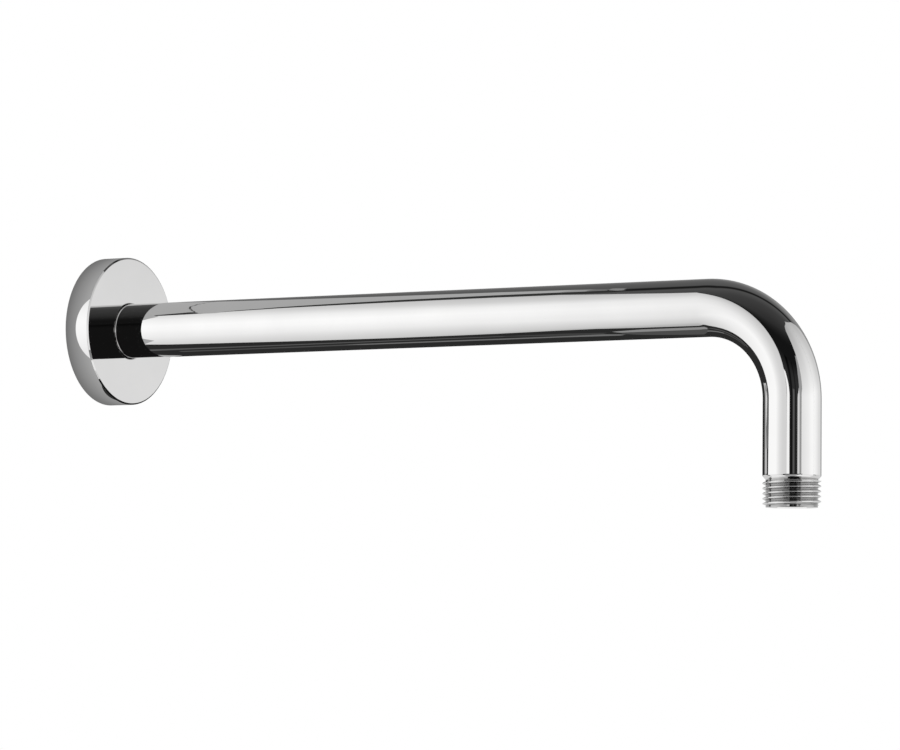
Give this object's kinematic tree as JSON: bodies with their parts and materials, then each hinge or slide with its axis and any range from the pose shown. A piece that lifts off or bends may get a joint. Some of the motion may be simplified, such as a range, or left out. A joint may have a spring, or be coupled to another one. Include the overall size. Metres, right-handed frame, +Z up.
{
  "type": "shower arm",
  "caption": "Wall-mounted shower arm: a straight chromed tube bent down to a threaded outlet, with a round wall flange that slides along the tube.",
  "frame": {"origin": "on the tube's axis in the wall plane, where the flange's back rim rests", "axes": "+X leads out from the wall along the tube, +Z is up, and the outlet points along -Z"},
  "size_m": [0.321, 0.057, 0.101],
  "materials": {
    "tube_chrome": "polished chrome plate on brass",
    "flange_chrome": "polished chrome plate on brass",
    "seal_rubber": "smooth moulded black rubber"
  },
  "bodies": {
    "arm": {"arm": "tube_chrome"},
    "flange": {"wall_flange": "flange_chrome", "flange_seal_ring": "seal_rubber"}
  },
  "joints": [
    {"name": "flange_slide", "type": "slide", "parent": "arm", "child": "flange", "axis": [1, 0, 0], "range_m": [0, 0.25]}
  ]
}
